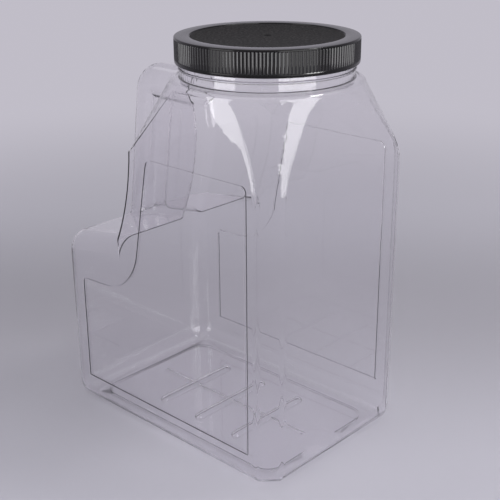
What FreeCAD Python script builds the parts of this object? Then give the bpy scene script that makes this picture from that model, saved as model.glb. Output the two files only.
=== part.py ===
import FreeCAD, Part
import math
import os

# Clear grip jar with a ribbed screw cap and its foam liner.
# Millimetres, +Z up, origin at the centre of the footprint on the resting plane,
# +X towards the plain end, the grip at the -X end, Y across the two label sides.

V = FreeCAD.Vector

# Jar body
BODY_LENGTH = 213.0
BODY_WIDTH = 145.0
WALL = 0.8
CORNER_CHAMFER = 13.0
GRIP_CORNER_RADIUS = 17.0
HEEL_RADIUS = 13.0
SHOULDER_Z = 214.5

# Ledge below the grip
LEDGE_Z = 138.3
LEDGE_RISE = 8.7
LEDGE_EDGE_RADIUS = 15.0

# Recessed wall behind the grip, as insets from the grip end
RECESS_TOP_INSET = 84.1
RECESS_MID_INSET = 77.9
RECESS_ROOT_INSET = 67.0
RECESS_MID_DROP = 38.5
RECESS_CORNER_CHAMFER = 1.0

# Shoulder and neck, which stands off the middle of the upper body towards the grip
NECK_SHIFT = 4.05
SHOULDER_HEIGHT = 45.0
SHOULDER_SPREAD = 7.4
SHOULDER_FLAT_HALF_ANGLE = 23.0
NECK_RADIUS = 58.4
NECK_WALL = 2.2
NECK_BASE_HEIGHT = 3.8
NECK_BASE_STEP = 0.9
NECK_HEIGHT = 23.1
NECK_BEAD_HEIGHT = 5.7
NECK_BEAD_RADIUS = 0.9
RIM_EDGE_RADIUS = 0.5

# Grip
COLUMN_RADIUS = 13.5
COLUMN_INSET = 15.2
COLUMN_SINK = 20.3
COLUMN_LEAN = 0.134
EAR_DROP = 1.2
EAR_BEND_INSET = 4.5
WEB_THICKNESS = 12.0
GRIP_BLEND_RADIUS = 5.5

# Label panels
PANEL_DEPTH = 1.0
PANEL_REACH = 21.9
PANEL_GRIP_MARGIN = 24.5
PANEL_BOTTOM_Z = 24.0
PANEL_TOP_DROP = 4.0
PANEL_STEP_DROP = 31.3
PANEL_STEP_FALL = 2.5
PANEL_STEP_INSET = 80.9
PANEL_TOP_INSET = 101.5
PANEL_CURVE_RADIUS = 42.0
PANEL_CORNER_RADIUS = 3.0

# Base
PUSH_UP = 1.5
PUSH_UP_INSET = 18.0
PARTING_RIB_RADIUS = 1.2
PARTING_END_MARGIN = 33.5
GROOVE_RADIUS = 3.0
GROOVE_SIDE_MARGIN = 38.5
GROOVE_PITCH = 38.5
DIMPLE_REACH = 21.5
DIMPLE_RADIUS = 17.0
DIMPLE_DEPTH = 1.8

# Closure
CAP_HEIGHT = 17.4
CAP_BAND = 2.2
CAP_EDGE_RADIUS = 1.0
CAP_TOP_WALL = 1.6
CAP_SKIRT_WALL = 1.0
CAP_RIM_WIDTH = 10.2
CAP_RECESS_DEPTH = 0.8
GATE_RADIUS = 2.4
GATE_NUB_RADIUS = 0.8
GATE_DEPTH = 0.4
RIB_COUNT = 160
RIB_HEIGHT = 0.4
LINER_THICKNESS = 1.0
LINER_CLEARANCE = 0.4
LINER_BEAD_RADIUS = 0.8

# Thread: one right-hand start, shared by neck and cap
THREAD_PITCH = 5.08
THREAD_ROOT = 2.4
THREAD_CREST = 1.0
THREAD_HEIGHT = 1.2
THREAD_CLEARANCE = 0.5
THREAD_SINK = 0.3
THREAD_TURNS = 1.1
THREAD_RIM_DROP = 2.5
CAP_THREAD_TURNS = 1.4

# Reach of every cutter past the surface that it leaves through
MARGIN = 5.0

# Plan sizes that follow from the ones above
HALF_LENGTH = BODY_LENGTH / 2.0
HALF_WIDTH = BODY_WIDTH / 2.0
WEB_HALF = WEB_THICKNESS / 2.0
RECESS_TOP_X = RECESS_TOP_INSET - HALF_LENGTH
RECESS_MID_X = RECESS_MID_INSET - HALF_LENGTH
RECESS_ROOT_X = RECESS_ROOT_INSET - HALF_LENGTH
NECK_X = (RECESS_TOP_X + HALF_LENGTH) / 2.0 - NECK_SHIFT
COLUMN_FOOT_X = COLUMN_INSET - HALF_LENGTH
PANEL_RIGHT_X = HALF_LENGTH - PANEL_REACH
PANEL_LEFT_X = PANEL_GRIP_MARGIN - HALF_LENGTH
PANEL_STEP_X = PANEL_STEP_INSET - HALF_LENGTH
PANEL_TOP_LEFT_X = PANEL_TOP_INSET - HALF_LENGTH
DIMPLE_X = HALF_LENGTH - DIMPLE_REACH
GROOVE_LENGTH = BODY_WIDTH - 2 * GROOVE_SIDE_MARGIN
PARTING_LENGTH = BODY_LENGTH - 2 * PARTING_END_MARGIN

# Heights that follow from the ones above
RECESS_ROOT_Z = LEDGE_Z + LEDGE_RISE
RECESS_MID_Z = SHOULDER_Z - RECESS_MID_DROP
SHOULDER_TOP_Z = SHOULDER_Z + SHOULDER_HEIGHT
NECK_BASE_Z = SHOULDER_TOP_Z + NECK_BASE_HEIGHT
NECK_BEAD_Z = NECK_BASE_Z + NECK_BEAD_HEIGHT
RIM_Z = NECK_BASE_Z + NECK_HEIGHT
COLUMN_FOOT_Z = LEDGE_Z - COLUMN_SINK
EAR_AXIS_Z = SHOULDER_TOP_Z - EAR_DROP - COLUMN_RADIUS
PANEL_TOP_Z = SHOULDER_Z - PANEL_TOP_DROP
PANEL_STEP_Z = LEDGE_Z - PANEL_STEP_DROP
NECK_THREAD_Z = RIM_Z - THREAD_RIM_DROP - THREAD_PITCH * THREAD_TURNS
CAP_THREAD_Z = NECK_THREAD_Z - THREAD_PITCH / 2.0
CAP_CEILING_Z = RIM_Z + LINER_THICKNESS
CAP_TOP_Z = CAP_CEILING_Z + CAP_TOP_WALL + CAP_RECESS_DEPTH
CAP_BOTTOM_Z = CAP_TOP_Z - CAP_HEIGHT

# Radii that follow from the ones above
NECK_BASE_RADIUS = NECK_RADIUS + NECK_BASE_STEP
SHOULDER_TOP_RADIUS = NECK_RADIUS + SHOULDER_SPREAD
EAR_BEND_RADIUS = COLUMN_RADIUS - EAR_BEND_INSET
CAP_BORE_RADIUS = NECK_RADIUS + THREAD_HEIGHT + THREAD_CLEARANCE
CAP_RADIUS = CAP_BORE_RADIUS + CAP_SKIRT_WALL + RIB_HEIGHT
CAP_RECESS_RADIUS = CAP_RADIUS - CAP_RIM_WIDTH
LINER_RADIUS = CAP_BORE_RADIUS - LINER_CLEARANCE


def to_plan(u, v):
    """Point of a plan outline, seen from above."""
    return V(u, v, 0)


def to_side(u, v):
    """Point of a side outline, in the XZ plane."""
    return V(u, 0, v)


def outline(points, place):
    """Closed face through (u, v, radius) corners, each rounded by its radius."""
    corners = [place(u, v) for u, v, _ in points]
    count = len(corners)
    edges = []
    starts = []
    ends = []
    arcs = []
    for i in range(count):
        corner = corners[i]
        back = (corners[i - 1] - corner).normalize()
        ahead = (corners[(i + 1) % count] - corner).normalize()
        radius = points[i][2]
        if radius == 0:
            starts.append(corner)
            ends.append(corner)
            arcs.append(None)
            continue
        half = math.acos(max(-1.0, min(1.0, back.dot(ahead)))) / 2.0
        run = radius / math.tan(half)
        middle = (back + ahead).normalize()
        depth = radius / math.sin(half) - radius
        starts.append(corner + back * run)
        ends.append(corner + ahead * run)
        arcs.append(corner + middle * depth)
    for i in range(count):
        if arcs[i] is not None:
            edges.append(Part.Arc(starts[i], arcs[i], ends[i]).toShape())
        following = (i + 1) % count
        if ends[i].distanceToPoint(starts[following]) > 1e-6:
            edges.append(Part.makeLine(ends[i], starts[following]))
    return Part.Face(Part.Wire(edges))


def inset(face, depth):
    """The same outline moved inwards by depth, or outwards where depth is negative."""
    if depth == 0:
        return face
    return face.makeOffset2D(-depth, 2)


def upright(face, low, high):
    """Plan outline pulled up from one height to another."""
    moved = face.copy()
    moved.translate(V(0, 0, low))
    return moved.extrude(V(0, 0, high - low))


def across(face, half=HALF_WIDTH + MARGIN):
    """Side outline pulled through the whole width."""
    moved = face.copy()
    moved.translate(V(0, -half, 0))
    return moved.extrude(V(0, 2 * half, 0))


def body_plan(left_x, left_radius):
    """Plan outline of the body: cut corners at the plain end, rounded ones at the grip end."""
    return outline([
        (left_x, -HALF_WIDTH, left_radius),
        (HALF_LENGTH - CORNER_CHAMFER, -HALF_WIDTH, 0),
        (HALF_LENGTH, -HALF_WIDTH + CORNER_CHAMFER, 0),
        (HALF_LENGTH, HALF_WIDTH - CORNER_CHAMFER, 0),
        (HALF_LENGTH - CORNER_CHAMFER, HALF_WIDTH, 0),
        (left_x, HALF_WIDTH, left_radius),
    ], to_plan)


def edges_between(shape, low, high, right):
    """Edges whose ends all lie between two heights and left of a limit, cross edges at the limit left out."""
    chosen = []
    for edge in shape.Edges:
        points = [vertex.Point for vertex in edge.Vertexes]
        level = all(low < p.z < high for p in points)
        beside = all(p.x < right + 0.01 for p in points)
        at_limit = all(abs(p.x - right) < 0.01 for p in points)
        if level and beside and not at_limit:
            chosen.append(edge)
    return chosen


def lower_block(depth):
    """Full-length lower body with its rounded heel and the ledge that rises to the recessed wall."""
    root_x = RECESS_ROOT_X + depth
    root_z = RECESS_ROOT_Z - depth
    slope = (RECESS_ROOT_Z - LEDGE_Z) / (RECESS_ROOT_X + HALF_LENGTH - LEDGE_EDGE_RADIUS)
    side = outline([
        (-HALF_LENGTH, depth, 0),
        (HALF_LENGTH, depth, 0),
        (HALF_LENGTH, root_z, 0),
        (root_x, root_z, 0),
        (-HALF_LENGTH, root_z - slope * (root_x + HALF_LENGTH), 0),
    ], to_side)
    plan = inset(body_plan(-HALF_LENGTH, GRIP_CORNER_RADIUS), depth)
    block = upright(plan, 0, RECESS_ROOT_Z).common(across(side))
    heel = edges_between(block, depth - 0.1, depth + 0.1, HALF_LENGTH + MARGIN)
    block = block.makeFillet(HEEL_RADIUS - depth, heel)
    ledge = edges_between(block, LEDGE_Z - LEDGE_EDGE_RADIUS, RECESS_ROOT_Z + 0.1, root_x)
    return block.makeFillet(LEDGE_EDGE_RADIUS - depth, ledge)


def upper_block(depth):
    """Upper body from the lower body up to the shoulder line, with the hollowed wall behind the grip."""
    base_z = LEDGE_Z - 2 * LEDGE_EDGE_RADIUS
    wall_top = to_side(RECESS_TOP_X + depth, SHOULDER_Z)
    wall_mid = to_side(RECESS_MID_X + depth, RECESS_MID_Z)
    wall_root = to_side(RECESS_ROOT_X + depth, RECESS_ROOT_Z - depth)
    wall_foot = to_side(RECESS_ROOT_X + depth, base_z)
    far_foot = to_side(HALF_LENGTH + MARGIN, base_z)
    far_top = to_side(HALF_LENGTH + MARGIN, SHOULDER_Z)
    side = Part.Face(Part.Wire([
        Part.Arc(wall_top, wall_mid, wall_root).toShape(),
        Part.makeLine(wall_root, wall_foot),
        Part.makeLine(wall_foot, far_foot),
        Part.makeLine(far_foot, far_top),
        Part.makeLine(far_top, wall_top),
    ]))
    plan = inset(body_plan(RECESS_ROOT_X - MARGIN, 0), depth)
    return upright(plan, base_z, SHOULDER_Z).common(across(side))


def neck_point(radius, angle, z):
    """Point at a radius and an angle in degrees about the neck axis."""
    turn = math.radians(angle)
    return V(NECK_X + radius * math.cos(turn), radius * math.sin(turn), z)


def shoulder(depth):
    """Faceted shoulder: a cut-cornered rectangle drawn into the round neck base."""
    left = RECESS_TOP_X + depth
    right = HALF_LENGTH - depth
    half = HALF_WIDTH - depth
    lead = CORNER_CHAMFER - depth * (2.0 - math.sqrt(2.0))
    tip = RECESS_CORNER_CHAMFER
    foot = [
        V(right, -half + lead, SHOULDER_Z),
        V(right, half - lead, SHOULDER_Z),
        V(right - lead, half, SHOULDER_Z),
        V(left + tip, half, SHOULDER_Z),
        V(left, half - tip, SHOULDER_Z),
        V(left, -half + tip, SHOULDER_Z),
        V(left + tip, -half, SHOULDER_Z),
        V(right - lead, -half, SHOULDER_Z),
    ]
    lean = SHOULDER_FLAT_HALF_ANGLE
    angles = [-lean, lean, 90 - lean, 90 + lean, 180 - lean, 180 + lean, 270 - lean, 270 + lean]
    radius = SHOULDER_TOP_RADIUS - depth
    lower_edges = []
    upper_edges = []
    for i in range(8):
        following = (i + 1) % 8
        start = angles[i]
        stop = angles[following] + (360 if following == 0 else 0)
        lower_edges.append(Part.makeLine(foot[i], foot[following]))
        upper_edges.append(Part.Arc(
            neck_point(radius, start, SHOULDER_TOP_Z),
            neck_point(radius, (start + stop) / 2.0, SHOULDER_TOP_Z),
            neck_point(radius, stop, SHOULDER_TOP_Z),
        ).toShape())
    return Part.makeLoft([Part.Wire(lower_edges), Part.Wire(upper_edges)], True, True)


def turned(points, arcs=()):
    """Solid turned about the neck axis from (radius, z) points; arcs bulge through a middle point."""
    bulges = dict(arcs)
    places = [V(NECK_X + r, 0, z) for r, z in points]
    edges = []
    for i, start in enumerate(places):
        stop = places[(i + 1) % len(places)]
        if i in bulges:
            r, z = bulges[i]
            edges.append(Part.Arc(start, V(NECK_X + r, 0, z), stop).toShape())
        else:
            edges.append(Part.makeLine(start, stop))
    face = Part.Face(Part.Wire(edges))
    return face.revolve(V(NECK_X, 0, 0), V(0, 0, 1), 360)


def neck_outside():
    """Neck with its rounded base, its bead and the plain land under the thread."""
    bend = 1.0 - math.sqrt(0.5)
    drop = NECK_BASE_Z - SHOULDER_TOP_Z
    lean = SHOULDER_TOP_RADIUS - NECK_BASE_RADIUS
    points = [
        (0, SHOULDER_TOP_Z),
        (SHOULDER_TOP_RADIUS, SHOULDER_TOP_Z),
        (NECK_BASE_RADIUS, NECK_BASE_Z),
        (NECK_RADIUS, NECK_BASE_Z + NECK_BASE_STEP),
        (NECK_RADIUS, RIM_Z - RIM_EDGE_RADIUS),
        (NECK_RADIUS - RIM_EDGE_RADIUS, RIM_Z),
        (0, RIM_Z),
    ]
    arcs = {
        1: (SHOULDER_TOP_RADIUS - lean * bend, NECK_BASE_Z - drop * bend),
        4: (NECK_RADIUS - RIM_EDGE_RADIUS * bend, RIM_Z - RIM_EDGE_RADIUS * bend),
    }
    body = turned(points, arcs)
    bead = Part.makeTorus(NECK_RADIUS, NECK_BEAD_RADIUS, V(NECK_X, 0, NECK_BEAD_Z), V(0, 0, 1))
    return body.fuse(bead)


def neck_inside():
    """Bore of the neck, flared below into the shoulder's inner face."""
    bore = NECK_RADIUS - NECK_WALL
    return turned([
        (0, SHOULDER_TOP_Z),
        (SHOULDER_TOP_RADIUS - WALL, SHOULDER_TOP_Z),
        (bore, NECK_BASE_Z - WALL),
        (bore, RIM_Z + MARGIN),
        (0, RIM_Z + MARGIN),
    ])


def grip(depth):
    """Pinch grip: leaning round column, ear bent into the shoulder, and the thin web behind them."""
    radius = COLUMN_RADIUS - depth
    ahead = V(1, 0, 0)
    rise = V(COLUMN_LEAN, 0, 1).normalize()
    foot = V(COLUMN_FOOT_X, 0, COLUMN_FOOT_Z)
    corner = foot + rise * ((EAR_AXIS_Z - foot.z) / rise.z)
    turn = math.acos(rise.dot(ahead))
    run = EAR_BEND_RADIUS * math.tan(turn / 2.0)
    bend_start = corner - rise * run
    bend_end = corner + ahead * run
    centre = bend_end - V(0, 0, EAR_BEND_RADIUS)
    column = Part.makeCylinder(radius, (bend_start - foot).Length, foot, rise)
    ear = Part.makeCylinder(radius, NECK_X - bend_end.x, bend_end, ahead)
    crown = centre + V(0, 0, EAR_BEND_RADIUS + radius)
    reach = math.sqrt(radius ** 2 - EAR_BEND_RADIUS ** 2)
    segment = Part.Face(Part.Wire([
        Part.Arc(centre + V(0, reach, 0), crown, centre - V(0, reach, 0)).toShape(),
        Part.makeLine(centre - V(0, reach, 0), centre + V(0, reach, 0)),
    ]))
    elbow = segment.revolve(centre, V(0, -1, 0), math.degrees(turn))
    web_face = outline([
        (foot.x, foot.z, 0),
        (NECK_X, foot.z, 0),
        (NECK_X, EAR_AXIS_Z, 0),
        (bend_end.x, EAR_AXIS_Z, 0),
        (bend_start.x, bend_start.z, 0),
    ], to_side)
    web = across(web_face, WEB_HALF - depth)
    return column.fuse([ear, elbow, web])


def label_panel(depth):
    """Pair of shallow panel cutters, one for each long side."""
    face = outline([
        (PANEL_RIGHT_X, PANEL_BOTTOM_Z, 0),
        (PANEL_RIGHT_X, PANEL_TOP_Z, PANEL_CORNER_RADIUS),
        (PANEL_TOP_LEFT_X, PANEL_TOP_Z, PANEL_CORNER_RADIUS),
        (PANEL_STEP_X, PANEL_STEP_Z, PANEL_CURVE_RADIUS),
        (PANEL_LEFT_X, PANEL_STEP_Z - PANEL_STEP_FALL, PANEL_CORNER_RADIUS),
        (PANEL_LEFT_X, PANEL_BOTTOM_Z, 0),
    ], to_side)
    face = inset(face, -depth)
    near = face.copy()
    near.translate(V(0, -HALF_WIDTH + depth + PANEL_DEPTH, 0))
    near = near.extrude(V(0, -PANEL_DEPTH - MARGIN, 0))
    far = near.mirror(V(0, 0, 0), V(0, 1, 0))
    return [near, far]


def groove(start, run, radius):
    """Round-ended groove cutter from a start point along a run."""
    direction = V(run.x, run.y, run.z).normalize()
    bar = Part.makeCylinder(radius, run.Length, start, direction)
    return bar.fuse([Part.makeSphere(radius, start), Part.makeSphere(radius, start + run)])


def base_relief(depth):
    """Raised base field, its parting groove, three cross grooves and the round dimple."""
    reach = PUSH_UP_INSET - depth
    field = outline([
        (-HALF_LENGTH + reach, -HALF_WIDTH + reach, CORNER_CHAMFER),
        (HALF_LENGTH - reach, -HALF_WIDTH + reach, CORNER_CHAMFER),
        (HALF_LENGTH - reach, HALF_WIDTH - reach, CORNER_CHAMFER),
        (-HALF_LENGTH + reach, HALF_WIDTH - reach, CORNER_CHAMFER),
    ], to_plan)
    pieces = [upright(field, -MARGIN, PUSH_UP + depth)]
    start = V(-PARTING_LENGTH / 2.0, 0, PUSH_UP)
    pieces.append(groove(start, V(PARTING_LENGTH, 0, 0), PARTING_RIB_RADIUS + depth))
    for step in (-1, 0, 1):
        start = V(step * GROOVE_PITCH, -GROOVE_LENGTH / 2.0, PUSH_UP)
        pieces.append(groove(start, V(0, GROOVE_LENGTH, 0), GROOVE_RADIUS + depth))
    ball = (DIMPLE_RADIUS ** 2 + DIMPLE_DEPTH ** 2) / (2 * DIMPLE_DEPTH)
    pieces.append(Part.makeSphere(ball + depth, V(DIMPLE_X, 0, PUSH_UP + DIMPLE_DEPTH - ball)))
    return pieces


def thread(radius, inward, start_z, turns):
    """Helical ridge of the shared thread section, standing outwards or inwards from a wall."""
    sign = -1.0 if inward else 1.0
    height = THREAD_PITCH * turns
    helix = Part.makeHelix(THREAD_PITCH, height, radius)
    section = Part.makePolygon([
        V(radius - sign * THREAD_SINK, 0, -THREAD_ROOT / 2.0),
        V(radius, 0, -THREAD_ROOT / 2.0),
        V(radius + sign * THREAD_HEIGHT, 0, -THREAD_CREST / 2.0),
        V(radius + sign * THREAD_HEIGHT, 0, THREAD_CREST / 2.0),
        V(radius, 0, THREAD_ROOT / 2.0),
        V(radius - sign * THREAD_SINK, 0, THREAD_ROOT / 2.0),
        V(radius - sign * THREAD_SINK, 0, -THREAD_ROOT / 2.0),
    ])
    ridge = Part.Wire(helix.Edges).makePipeShell([section], True, True)
    ridge = Part.Solid(ridge)
    ridge.translate(V(NECK_X, 0, start_z))
    return ridge


def blend_grip(body, depth):
    """Round the hollow corners of the web and of the column's foot."""
    half = WEB_HALF - depth
    ceiling = EAR_AXIS_Z - EAR_BEND_RADIUS
    hollow = []
    for edge in body.Edges:
        points = [vertex.Point for vertex in edge.Vertexes]
        on_web = all(abs(abs(p.y) - half) < 0.05 for p in points)
        at_foot = all(p.x < COLUMN_FOOT_X + 2 * COLUMN_RADIUS and abs(p.y) < COLUMN_RADIUS for p in points)
        beside = all(p.x < RECESS_TOP_X + MARGIN for p in points)
        above = all(p.z > LEDGE_Z - LEDGE_EDGE_RADIUS for p in points)
        below = any(p.z < ceiling for p in points)
        if (on_web or at_foot) and beside and above and below:
            hollow.append(edge)
    radius = min(GRIP_BLEND_RADIUS, WEB_HALF)
    return body.makeFillet(radius + depth, hollow)


def body_form(depth):
    """Body, shoulder and grip as one rounded form, before the neck is added."""
    form = lower_block(depth).fuse([upper_block(depth), grip(depth), shoulder(depth)])
    return blend_grip(form.removeSplitter(), depth)


def make_jar():
    """Thin-walled jar: outer form less the same form inset by the wall."""
    outer = body_form(0).fuse(neck_outside())
    outer = outer.cut(label_panel(0))
    outer = outer.cut(base_relief(0))
    inner = body_form(WALL).fuse(neck_inside())
    inner = inner.cut(label_panel(WALL))
    inner = inner.cut(base_relief(WALL))
    jar = outer.cut(inner)
    ridge = thread(NECK_RADIUS, False, NECK_THREAD_Z, THREAD_TURNS)
    return jar.fuse(ridge)


def ribbed_ring(low, high):
    """Disc with upright ribs around its edge."""
    points = []
    pitch = 2 * math.pi / RIB_COUNT
    for i in range(RIB_COUNT):
        for share, radius in (
            (-0.28, CAP_RADIUS - RIB_HEIGHT),
            (-0.14, CAP_RADIUS),
            (0.14, CAP_RADIUS),
            (0.28, CAP_RADIUS - RIB_HEIGHT),
        ):
            turn = (i + share) * pitch
            points.append(V(NECK_X + radius * math.cos(turn), radius * math.sin(turn), low))
    points.append(points[0])
    return Part.Face(Part.makePolygon(points)).extrude(V(0, 0, high - low))


def make_cap():
    """Screw cap: ribbed skirt, smooth foot band, raised rim and recessed top with its gate mark."""
    rib_foot = CAP_BOTTOM_Z + CAP_BAND
    rib_head = CAP_TOP_Z - CAP_EDGE_RADIUS
    bend = CAP_EDGE_RADIUS * (1.0 - math.sqrt(0.5))
    foot = turned([
        (0, CAP_BOTTOM_Z),
        (CAP_RADIUS - CAP_EDGE_RADIUS, CAP_BOTTOM_Z),
        (CAP_RADIUS, CAP_BOTTOM_Z + CAP_EDGE_RADIUS),
        (CAP_RADIUS, rib_foot),
        (0, rib_foot),
    ], {1: (CAP_RADIUS - bend, CAP_BOTTOM_Z + bend)})
    head = turned([
        (0, rib_head),
        (CAP_RADIUS, rib_head),
        (CAP_RADIUS - CAP_EDGE_RADIUS, CAP_TOP_Z),
        (CAP_RECESS_RADIUS, CAP_TOP_Z),
        (CAP_RECESS_RADIUS, CAP_TOP_Z - CAP_RECESS_DEPTH),
        (0, CAP_TOP_Z - CAP_RECESS_DEPTH),
    ], {1: (CAP_RADIUS - bend, CAP_TOP_Z - bend)})
    ribs = ribbed_ring(rib_foot, rib_head)
    dish = Part.makeCylinder(CAP_RECESS_RADIUS, MARGIN, V(NECK_X, 0, CAP_TOP_Z - CAP_RECESS_DEPTH))
    body = foot.fuse([ribs, head]).cut(dish)
    bore_depth = CAP_CEILING_Z - CAP_BOTTOM_Z + MARGIN
    bore = Part.makeCylinder(CAP_BORE_RADIUS, bore_depth, V(NECK_X, 0, CAP_BOTTOM_Z - MARGIN))
    gate_z = CAP_TOP_Z - CAP_RECESS_DEPTH - GATE_DEPTH
    gate = Part.makeCylinder(GATE_RADIUS, MARGIN, V(NECK_X, 0, gate_z))
    nub = Part.makeCylinder(GATE_NUB_RADIUS, GATE_DEPTH, V(NECK_X, 0, gate_z))
    body = body.cut([bore, gate]).fuse(nub)
    ridge = thread(CAP_BORE_RADIUS, True, CAP_THREAD_Z, CAP_THREAD_TURNS)
    bead_z = RIM_Z - LINER_BEAD_RADIUS
    bead = Part.makeTorus(CAP_BORE_RADIUS, LINER_BEAD_RADIUS, V(NECK_X, 0, bead_z), V(0, 0, 1))
    shell_wall = turned([
        (CAP_BORE_RADIUS - LINER_BEAD_RADIUS, bead_z - LINER_BEAD_RADIUS),
        (CAP_BORE_RADIUS + CAP_SKIRT_WALL / 2.0, bead_z - LINER_BEAD_RADIUS),
        (CAP_BORE_RADIUS + CAP_SKIRT_WALL / 2.0, bead_z + LINER_BEAD_RADIUS),
        (CAP_BORE_RADIUS - LINER_BEAD_RADIUS, bead_z + LINER_BEAD_RADIUS),
    ])
    return body.fuse([ridge, bead.common(shell_wall)])


def make_liner():
    """Foam liner disc seated between the cap's ceiling and the rim of the neck."""
    return Part.makeCylinder(LINER_RADIUS, LINER_THICKNESS, V(NECK_X, 0, RIM_Z))


def main():
    os.makedirs("parts", exist_ok=True)
    pieces = {"jar": make_jar(), "cap": make_cap(), "liner": make_liner()}
    for name, shape in pieces.items():
        solid = shape.removeSplitter().Solids[0]
        print(name, "valid" if solid.isValid() else "not valid", round(solid.Volume / 1000.0, 1), "cm3")
        solid.exportStep("parts/" + name + ".step")


if __name__ == "__main__":
    main()
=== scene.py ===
"""Dresses a clear grip jar, its black ribbed screw cap and its foam liner around the fixed CAD frame.

Metres, in the CAD frame: +Z up, +X towards the plain end, the grip at the -X end. Angles are in degrees.
"""

from __future__ import annotations

import logging
import math
from dataclasses import dataclass
from enum import Enum

import bmesh
import bpy
import numpy as np
from bmesh.types import BMesh, BMFace, BMVert
from bpy.types import Material, Mesh, Node, NodeSocket, NodeTree, Object, World
from mathutils import Matrix, Vector


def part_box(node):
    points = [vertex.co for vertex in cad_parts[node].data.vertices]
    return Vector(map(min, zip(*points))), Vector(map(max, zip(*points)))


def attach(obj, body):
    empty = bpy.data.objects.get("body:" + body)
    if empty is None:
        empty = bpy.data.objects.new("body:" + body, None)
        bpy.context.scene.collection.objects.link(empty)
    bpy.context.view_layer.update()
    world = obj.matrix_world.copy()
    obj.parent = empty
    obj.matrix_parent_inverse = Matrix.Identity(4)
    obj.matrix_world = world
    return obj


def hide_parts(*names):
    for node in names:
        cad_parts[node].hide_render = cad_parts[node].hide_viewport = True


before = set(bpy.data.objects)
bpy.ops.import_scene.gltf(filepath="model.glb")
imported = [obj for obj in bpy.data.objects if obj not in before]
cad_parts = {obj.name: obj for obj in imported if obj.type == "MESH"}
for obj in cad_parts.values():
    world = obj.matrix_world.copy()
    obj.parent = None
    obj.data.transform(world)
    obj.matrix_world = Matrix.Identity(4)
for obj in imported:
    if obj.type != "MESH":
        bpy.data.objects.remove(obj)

Colour = tuple[float, float, float, float]
Point = tuple[float, float]
Place = tuple[float, float, float]

LOG = logging.getLogger("jar")

MM = 0.001
FULL_TURN = 2.0 * math.pi
NECK_X = 38.0 * MM

# Distances below which a point counts as on a cut, two points as one, and a face as at a level.
ON_CUT = 0.0001 * MM
TOUCH = 0.001 * MM
HAIR = 0.01 * MM


def corners(node: str) -> tuple[Place, Place]:
    """Lowest and highest corner of a CAD node, rounded to the micrometre that single precision holds."""
    low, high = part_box(node)
    return tuple(round(at, 6) for at in low), tuple(round(at, 6) for at in high)


_, (JAR_X, JAR_Y, JAR_TOP) = corners("jar")
(CAP_LEFT, _, CAP_BOTTOM), (CAP_RIGHT, _, CAP_TOP) = corners("cap")
_, (_, _, LINER_TOP) = corners("liner")


class Slot(Enum):
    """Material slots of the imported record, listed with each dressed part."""

    CLEAR = "clear_pet"
    BLACK = "black_cap"


class Facing(Enum):
    """Which way a form looks from the neck's axis."""

    OUTWARD = 1.0
    INWARD = -1.0


# --------------------------------------------------------------------------- node trees


class Value:
    """A number socket in a node tree, or an expression on such sockets, built with Python operators."""

    def __init__(self, graph: Graph, socket: NodeSocket) -> None:
        """Keep the socket and the graph that new nodes go into."""
        self.graph = graph
        self.socket = socket

    def __add__(self, other: Value | float) -> Value:
        """Sum."""
        return self.graph.maths("ADD", self, other)

    __radd__ = __add__

    def __sub__(self, other: Value | float) -> Value:
        """Difference."""
        return self.graph.maths("SUBTRACT", self, other)

    def __rsub__(self, other: float) -> Value:
        """Reflected difference."""
        return self.graph.maths("SUBTRACT", other, self)

    def __mul__(self, other: Value | float) -> Value:
        """Product."""
        return self.graph.maths("MULTIPLY", self, other)

    __rmul__ = __mul__

    def __truediv__(self, other: Value | float) -> Value:
        """Quotient."""
        return self.graph.maths("DIVIDE", self, other)

    def __rtruediv__(self, other: float) -> Value:
        """Reflected quotient."""
        return self.graph.maths("DIVIDE", other, self)

    def root(self) -> Value:
        """Square root."""
        return self.graph.maths("SQRT", self, 0.0)

    def step_up(self, low: float, high: float) -> Value:
        """Smooth rise from 0 at low to 1 at high.

        Args:
            low: Value below which the result is 0.
            high: Value above which the result is 1.

        Returns:
            The smoothed step.
        """
        made = self.graph.node(
            "ShaderNodeMapRange",
            {"interpolation_type": "SMOOTHSTEP", "clamp": True},
            {"Value": self, "From Min": low, "From Max": high},
        )
        return Value(self.graph, made.outputs["Result"])


class Graph:
    """A node tree, with one method for any node and one for Math nodes."""

    def __init__(self, tree: NodeTree) -> None:
        """Take over a node tree and empty it."""
        self.tree = tree
        tree.nodes.clear()

    def node(self, kind: str, settings: dict | None = None, inputs: dict | None = None) -> Node:
        """Add a node.

        Args:
            kind: Blender's node type.
            settings: The node's properties, which are set first.
            inputs: Socket name or index to a plain value, a Value, or another node's output.

        Returns:
            The new node.
        """
        made = self.tree.nodes.new(kind)
        for key, value in (settings or {}).items():
            setattr(made, key, value)
        for key, value in (inputs or {}).items():
            source = value.socket if isinstance(value, Value) else value
            if isinstance(source, NodeSocket):
                self.tree.links.new(source, made.inputs[key])
            else:
                made.inputs[key].default_value = source
        return made

    def maths(self, operation: str, a: Value | float, b: Value | float) -> Value:
        """Math node of that operation on two values."""
        made = self.node("ShaderNodeMath", {"operation": operation}, {0: a, 1: b})
        return Value(self, made.outputs["Value"])


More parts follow.
